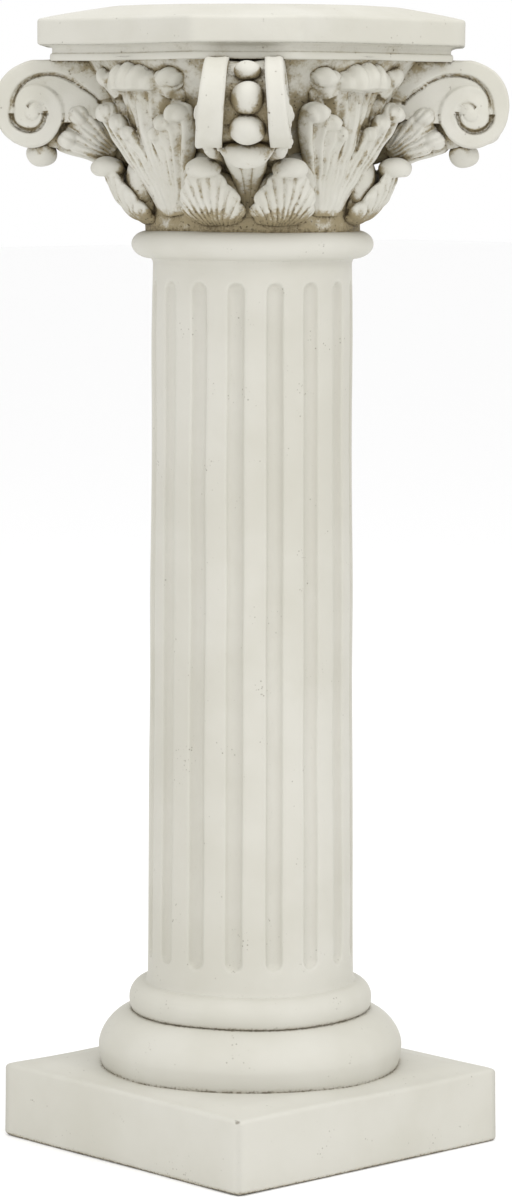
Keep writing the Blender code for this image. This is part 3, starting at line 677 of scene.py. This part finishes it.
# Scroll plate in polar rings about its eye. Its face is a height over (angle, distance): the groove sinks by
# exp(-|d / w|^3) of its depth on each winding, the web lies lower, the eye is half an ellipsoid on a boss, and
# the rim is rounded.
def scrollPlate(lean):
    v = volute
    numbers, angles = v["spokes"]
    degrees = np.interp(np.arange(numbers[-1]), numbers, angles)
    theta = np.radians(degrees)
    # the outline is cut level at the top and upright at the stem: a straight line is its distance over the
    # cosine of the angle to it, and is far away on the other side
    rim = byAngle(v["rim"], degrees, 360)
    for cut, facing in ((v["top"], np.sin(theta)), (v["stem"], -np.cos(theta))):
        rim = np.minimum(rim, cut / np.maximum(facing, 0.05) * np.where(facing > 0, 1, 99))
    for _ in range(2):
        rim = (np.roll(rim, 1) + 2 * rim + np.roll(rim, -1)) / 4
    q = np.linspace(0, 1, 57)[1:, None]
    rho = rim[None] * (1 - (1 - q) ** v["crowding"])
    run = np.array(v["groove"])[::-1]
    sunk = np.zeros_like(rho)
    for lap in (0, -360):
        at = degrees + lap
        at = np.where((lap == 0) & (degrees > v["lapEnd"]), degrees - 360, at)
        on = (at > run[0, 0] - v["grooveOver"][0]) & (at < run[-1, 0] + v["grooveOver"][1])
        middle, half, depth = (np.interp(at, run[:, 0], run[:, k]) for k in (1, 2, 3))
        sunk = sunk + on * depth * np.exp(-np.abs((rho - middle) * v["grooveSharp"] / half) ** 3)
    coil = byAngle(v["coil"], degrees)
    outer = np.where(degrees < v["outerEnd"], np.interp(degrees, run[:, 0], run[:, 1]), 1.0)
    web = eased(coil - v["webInner"][0], coil + v["webInner"][1], rho)
    web = web * (1 - eased(outer - v["webOuter"], outer, rho))
    web = web * eased(*v["webStart"], degrees) * (1 - eased(*v["webEnd"], degrees))
    eye = np.sqrt(np.clip(1 - (rho / v["eyeSize"]) ** 2, 0, 1)) * v["eyeRise"]
    boss = v["boss"] * (1 - eased(*v["bossReach"], rho))
    edge = v["edge"]
    inside = np.clip(edge - (rim[None] - rho), 0, edge)
    rounded = edge - np.sqrt(np.clip(edge ** 2 - inside ** 2, 0, None))
    height = eye + boss - sunk - web * v["webDepth"] - rounded

    def laid(distance, lift, inner):
        out = v["eyeOut"] + distance * np.cos(theta)
        up = v["eyeUp"] + distance * np.sin(theta)
        drop = np.clip((v["topLevel"] - up) / v["fall"], -0.1, 1.1)
        faceAt = v["face"] + v["faceSpread"] * drop
        gapAt = v["gap"] + v["gapSpread"] * drop + lean
        return np.stack([out, np.where(inner, gapAt, faceAt) + lift, up], -1)

    face = laid(rho, height, False)
    t = np.linspace(0, 1, 9)[1:-1, None]
    faceEdge, gapEdge = laid(rim[None], -edge, False), laid(rim[None], v["gapEdge"], True)
    wall = faceEdge * (1 - t[..., None]) + gapEdge * t[..., None]
    outward = unit(np.stack([np.cos(theta), 0 * theta, np.sin(theta)], -1))[None]
    wall = wall - outward * (v["wallHollow"] * np.sin(np.pi * t)[..., None])
    back = laid(rim[None] * np.array(v["backRings"])[:, None], 0.0, True)
    return skin(np.concatenate([face, wall, back]))


plateRight = scrollPlate(volute["lean"])
plateLeft = mirrored(scrollPlate(-volute["lean"]))
for name, plate in (("volutesRight", plateRight), ("volutesLeft", plateLeft)):
    plates = [turned(plate, angle) for angle in cornerAngles]
    addPiece(name, [uneven(part, *volute["unevenness"]) for part in plates], carvedStone)

ornament = {
    # side outline of the wall between the plates, its half width and how far its edge is hollowed
    "wall": [(.076, .7690), (.110, .7690), (.1390, .7682), (.1480, .7655), (.1560, .7612), (.1612, .7540),
             (.1643, .7450), (.1652, .7350), (.1638, .7250), (.1595, .7180), (.1525, .7140), (.1430, .7100),
             (.1300, .7072), (.1150, .7070), (.1000, .7030), (.0860, .6980), (.0760, .6960)],
    "wallHalf": 0.0185, "wallHollow": 0.0014,
    # beads of place and size
    "beads": [((0.1602, 0.0030, 0.7606), (0.0078, 0.0094, 0.0066)),
              ((0.1652, 0.0030, 0.7425), (0.0112, 0.0113, 0.0113)),
              ((0.1630, 0.0030, 0.7215), (0.0108, 0.0125, 0.0102))],
    # husk: its middle, half sizes and how far its ends stand back and up
    "husk": (0.1485, 0.0020, 0.7042), "huskHalf": (0.0108, 0.0190, 0.0090), "huskEnds": (0.0030, 0.0052),
    # calyx: path of its outer stalks
    "calyx": [(.0745, .0012, .6625, .0018), (.0795, .0032, .6760, .0030), (.0885, .0060, .6890, .0044),
              (.1030, .0085, .7000, .0056), (.1200, .0100, .7075, .0060), (.1380, .0110, .7090, .0055)],
    "unevenness": (0.021, 0.0003),
}


# Wall between the two plates: its side outline carried across and drawn in to the eye by cos^2 of the way.
def voluteWall():
    outline = spline(ornament["wall"], 110)
    half = ornament["wallHalf"]
    across = np.linspace(-half, half, 15)
    dent = ornament["wallHollow"] * np.cos(np.pi * across / (2 * half)) ** 2
    inward = unit(np.array([volute["eyeOut"], volute["eyeUp"]]) - outline)
    moved = outline[None] + inward[None] * dent[:, None, None]
    side = np.broadcast_to(across[:, None, None], moved.shape[:2] + (1,))
    return skin(np.concatenate([moved[..., :1], side, moved[..., 1:]], -1))


# Husk: a boat of oval sections from end to end, q = (1 - |v|^2.4)^0.7 at each, its ends lifted by v^2.
def husk():
    (out, aside, up), (deep, wide, high) = ornament["husk"], ornament["huskHalf"]
    back, lift = ornament["huskEnds"]
    v = np.linspace(-0.995, 0.995, 40)[:, None]
    a = np.linspace(0, 2 * np.pi, 28, endpoint=False)
    q = (1 - np.abs(v) ** 2.4) ** 0.7
    return skin(np.stack([out + deep * q * np.cos(a) - back * v ** 2, aside + wide * v + 0 * a,
                          up + high * q * np.sin(a) + lift * v ** 2], -1))


# Parts at one corner: wall, beads, husk, and the calyx of one stalk in the middle and one to each side.
def cornerParts():
    parts = [voluteWall()] + [pebble(place, size) for place, size in ornament["beads"]] + [husk()]
    for side in (-1, 0, 1):
        path = [(out, side * across, up, half) for out, across, up, half in ornament["calyx"]]
        parts.append(lobe(path, thick=0.9, hollow=0.0))
    return parts


corner = cornerParts()
corners = [turned(part, angle) for angle in cornerAngles for part in corner]
addPiece("beadsAndHusks", [uneven(part, *ornament["unevenness"]) for part in corners], carvedStone)

tallLeaf = {
    "grain": 0.00075, "rubs": 2, "keep": 0.44, "bend": 4.2, "unevenness": (0.017, 0.0004),
    # paths of (out, side, up, half width) from foot to tip
    "trunk": [(.0750, 0, .6625, .0036), (.0810, 0, .6800, .0046), (.0900, 0, .7000, .0056),
              (.0975, 0, .7160, .0060), (.1020, 0, .7350, .0068), (.1055, 0, .7560, .0080)],
    "fan": [(.0915, .0040, .7050, .0030), (.0970, .0062, .7200, .0040), (.1010, .0108, .7380, .0054),
            (.1055, .0165, .7560, .0070)],
    "inner": [(.0750, .0040, .6625, .0028), (.0815, .0074, .6800, .0038), (.0910, .0112, .7000, .0050),
              (.0985, .0136, .7110, .0058), (.1045, .0140, .7180, .0060), (.1075, .0140, .7195, .0056)],
    "middle": [(.0750, .0066, .6630, .0030), (.0815, .0126, .6800, .0044), (.0915, .0186, .7000, .0060),
               (.1005, .0228, .7160, .0074), (.1070, .0240, .7255, .0078), (.1110, .0242, .7270, .0074)],
    "outer": [(.0745, .0086, .6640, .0034), (.0810, .0166, .6820, .0050), (.0912, .0252, .7020, .0070),
              (.1005, .0328, .7200, .0088), (.1075, .0362, .7320, .0096), (.1125, .0366, .7340, .0092)],
    "web": [(.0715, 0, .6620, .0085), (.0775, 0, .6800, .0180), (.0850, 0, .7000, .0260),
            (.0922, 0, .7160, .0320), (.0965, 0, .7290, .0330)],
    "hood": [(.0900, .0060, .7080, .0045), (.0965, .0140, .7240, .0082), (.1018, .0232, .7400, .0104),
             (.1060, .0290, .7540, .0112)],
    "curl": [(.1040, .0245, .7460, .0072), (.1092, .0295, .7550, .0088), (.1135, .0340, .7570, .0092),
             (.1165, .0372, .7530, .0078)],
    # rounded heads of place and size, and the cap with the level of its flat underside
    "heads": [((.1062, .0140, .7188), (.0052, .0052, .0052)), ((.1092, .0243, .7262), (.0062, .0068, .0058)),
              ((.1112, .0368, .7328), (.0076, .0088, .0066))],
    "cap": ((.1105, 0, .7540), (.0158, .0240, .0146), .7492),
    # veins: where they meet, step in degrees, depth, and the heights at which they start and go over the cap
    "veinFoot": .6400, "veinStep": 5.2, "veinDepth": .0015, "veinFrom": (.670, .700),
    "capFrom": (.7480, .7600),
}


# Thin web, trunk, lobes to each side with their heads, a hood and a curl beside the trunk, and the cap.
def tallLeafParts():
    t = tallLeaf
    fan = lobe(t["fan"], thick=0.85, hollow=0.0)
    hood = lobe(t["hood"], thick=0.45, hollow=1.3, across=36, along=46, tip=0.12)
    curl = lobe(t["curl"], thick=0.75, hollow=0.0, across=28, tip=0.35)
    lobes = [lobe(t[key], thick=0.80, hollow=0.70, across=32, along=50, tip=0.16)
             for key in ("inner", "middle", "outer")]
    heads = [pebble(place, size) for place, size in t["heads"]]
    parts = [lobe(t["web"], thick=0.09, hollow=0.0, across=40, tip=0.30),
             lobe(t["trunk"], thick=0.85, hollow=0.25, across=28, along=50, tip=0.05)]
    for part in [fan] + lobes + [hood, curl] + heads:
        parts += [part, mirrored(part)]
    parts.append(pebble(*t["cap"], across=40, down=24))
    return [wrapped(part, t["bend"]) for part in parts]


# The tall leaf sinks inwards between its veins, and on its cap downwards too.
def tallVeins(part):
    t = tallLeaf
    points = part[0].copy()
    sunk = veinShare(points[:, 1], points[:, 2] - t["veinFoot"], t["veinStep"], 2)
    sunk = t["veinDepth"] * (sunk * eased(*t["veinFrom"], points[:, 2]))
    points[:, 0] -= sunk
    points[:, 2] -= sunk * eased(*t["capFrom"], points[:, 2])
    return points, part[1], part[2]


leaf = tallVeins(carved(tallLeafParts(), tallLeaf["grain"], tallLeaf["rubs"]))
leaf = thinned(leaf, tallLeaf["keep"])
leaves = [turned(leaf, angle) for angle in sideAngles]
addPiece("tallLeaves", [uneven(part, *tallLeaf["unevenness"]) for part in leaves], carvedStone)

shortLeaf = {
    "grain": 0.00075, "rubs": 2, "keep": 0.55, "bend": 4.6, "turn": 16.5, "unevenness": (0.015, 0.0003),
    "shell": [(.0715, 0, .6555, .0080), (.0745, 0, .6590, .0165), (.0800, 0, .6630, .0215),
              (.0862, 0, .6680, .0236), (.0925, 0, .6750, .0222), (.0982, 0, .6830, .0182),
              (.1022, 0, .6900, .0138), (.1038, 0, .6950, .0105)],
    "backing": [(.0720, 0, .6600, .0100), (.0770, 0, .6680, .0170), (.0830, 0, .6820, .0180),
                (.0900, 0, .6940, .0130)],
    "cap": ((.1045, 0, .6950), (.0118, .0124, .0080), .6895),
    # veins: as on the tall leaf, and where they end below the cap; they lie in front of a line of (up, out)
    "veinFoot": .6440, "veinStep": 9.5, "veinDepth": .0016, "veinTo": (.6880, .6925),
    "frontLine": ([.656, .668, .683, .695], [.070, .085, .097, .103]), "frontFrom": (-0.004, 0.002),
}


# Scalloped shell, a plain backing behind it and the cap.
def shortLeafParts():
    t = shortLeaf
    parts = [lobe(t["shell"], thick=0.26, hollow=0.0, across=72, along=70, notches=(4, 0.15)),
             lobe(t["backing"], thick=0.40, hollow=0.0, across=36),
             pebble(*t["cap"], across=32, down=18)]
    return [wrapped(part, t["bend"]) for part in parts]


# The short leaf sinks inwards between its veins, on its front alone and below its cap.
def shortVeins(part):
    t = shortLeaf
    points = part[0].copy()
    sunk = veinShare(points[:, 1], points[:, 2] - t["veinFoot"], t["veinStep"], 3)
    front = eased(*t["frontFrom"], points[:, 0] - np.interp(points[:, 2], *t["frontLine"]))
    points[:, 0] -= t["veinDepth"] * sunk * front * (1 - eased(*t["veinTo"], points[:, 2]))
    return points, part[1], part[2]


small = shortVeins(carved(shortLeafParts(), shortLeaf["grain"], shortLeaf["rubs"]))
small = thinned(small, shortLeaf["keep"])
smallLeaves = [turned(small, angle + hand * shortLeaf["turn"]) for angle in cornerAngles for hand in (-1, 1)]
addPiece("shortLeaves", [uneven(part, *shortLeaf["unevenness"]) for part in smallLeaves], carvedStone)

sideLeaf = {
    "grain": 0.0009, "rubs": 2, "keep": 0.55, "unevenness": (0.015, 0.0003),
    "lobes": [
        [(.0960, .0180, .7080, .0060), (.1080, .0230, .7190, .0078), (.1190, .0258, .7300, .0082)],
        [(.1000, .0180, .7050, .0050), (.1130, .0232, .7095, .0070), (.1265, .0255, .7138, .0076)],
        [(.0960, .0160, .7040, .0050), (.1080, .0210, .7110, .0085), (.1200, .0228, .7180, .0090),
         (.1300, .0225, .7230, .0060)],
    ],
    "heads": [((.1205, .0262, .7312), (.0078, .0070, .0070)), ((.1282, .0260, .7146), (.0074, .0066, .0064))],
    # veins: where they meet (out, up), step, depth, and how far aside they start
    "veinFoot": (.0850, .6950), "veinStep": 7.5, "veinDepth": .0013, "veinFrom": (.0200, .0260),
}


# Lobes that look sideways from under the volute's flank, with heads on two of them.
def sideLeafParts():
    parts = [lobe(path, thick=0.75, hollow=0.35, facing=(0.0, 1.0, 0.0)) for path in sideLeaf["lobes"]]
    return parts + [pebble(place, size) for place, size in sideLeaf["heads"]]


# The side leaf sinks towards the volute between its veins.
def sideVeins(part):
    t = sideLeaf
    points = part[0].copy()
    out, up = t["veinFoot"]
    sunk = veinShare(points[:, 2] - up, points[:, 0] - out, t["veinStep"], 2)
    points[:, 1] -= t["veinDepth"] * (sunk * eased(*t["veinFrom"], points[:, 1]))
    return points, part[1], part[2]


flank = sideVeins(carved(sideLeafParts(), sideLeaf["grain"], sideLeaf["rubs"]))
flank = thinned(flank, sideLeaf["keep"])
sideLeaves = [turned(part, angle) for angle in cornerAngles for part in (flank, mirrored(flank))]
addPiece("sideLeaves", [uneven(part, *sideLeaf["unevenness"]) for part in sideLeaves], carvedStone)

# White studio: pale floor, even sky and three soft lights. Each light has its distances towards the camera,
# to the right of it and up, the height it points at, its width and its power.
studio = {
    "sky": (1.0, 1.0, 1.0, 1.0), "floor": (0.97, 0.97, 0.97, 1), "floorRough": 0.9, "floorHalf": 20,
    "key": ((1.6, 1.9, 2.2), 0.4, 1.0, 16), "top": ((0.5, 0.0, 3.0), 0.4, 1.4, 21),
    "front": ((2.6, -0.9, 1.4), 0.6, 1.0, 11),
}
# The camera stands at an azimuth and a distance from the axis, and looks down. Angles are in degrees.
camera = {
    "azimuth": 47.3, "distance": 3.04, "height": 0.7147, "down": 6.106, "yaw": 0.062, "roll": 0.17,
    "lens": 129.0, "sensor": 36,
}
azimuth = math.radians(camera["azimuth"])
towards = Vector((math.sin(azimuth), -math.cos(azimuth), 0))
right = Vector((math.cos(azimuth), math.sin(azimuth), 0))

world = bpy.data.worlds.new("studio")
bpy.context.scene.world = world
world.use_nodes = True
world.node_tree.nodes["Background"].inputs["Color"].default_value = studio["sky"]
world.node_tree.nodes["Background"].inputs["Strength"].default_value = 1.0
bpy.context.scene.view_settings.view_transform = "Standard"

far = studio["floorHalf"]
floorMesh = bpy.data.meshes.new("floor")
floorMesh.from_pydata([(-far, -far, 0), (far, -far, 0), (far, far, 0), (-far, far, 0)], [], [(0, 1, 2, 3)])
floor = bpy.data.objects.new("floor", floorMesh)
bpy.context.scene.collection.objects.link(floor)
paper = bpy.data.materials.new("paleFloor")
paper.use_nodes = True
paper.node_tree.nodes["Principled BSDF"].inputs["Base Color"].default_value = studio["floor"]
paper.node_tree.nodes["Principled BSDF"].inputs["Roughness"].default_value = studio["floorRough"]
floorMesh.materials.append(paper)


# Square light that points at a height on the axis.
def softLight(name):
    (near, aside, up), aimHeight, size, power = studio[name]
    place = towards * near + right * aside + Vector((0, 0, up))
    lamp = bpy.data.lights.new(name, "AREA")
    lamp.size = size
    lamp.energy = power
    item = bpy.data.objects.new(name, lamp)
    item.location = place
    item.rotation_euler = (Vector((0, 0, aimHeight)) - place).to_track_quat("-Z", "Y").to_euler()
    bpy.context.scene.collection.objects.link(item)


for name in ("key", "top", "front"):
    softLight(name)

lens = bpy.data.cameras.new("camera")
lens.lens = camera["lens"]
lens.sensor_width = camera["sensor"]
cameraItem = bpy.data.objects.new("camera", lens)
cameraItem.location = towards * camera["distance"] + Vector((0, 0, camera["height"]))
down, yaw = math.radians(camera["down"]), math.radians(camera["yaw"])
aim = (-towards * math.cos(yaw) + right * math.sin(yaw)) * math.cos(down) - Vector((0, 0, math.sin(down)))
cameraItem.rotation_mode = "QUATERNION"
roll = Quaternion((0, 0, 1), math.radians(camera["roll"]))
cameraItem.rotation_quaternion = aim.to_track_quat("-Z", "Y") @ roll
bpy.context.scene.collection.objects.link(cameraItem)
bpy.context.scene.camera = cameraItem
print("studio ready")
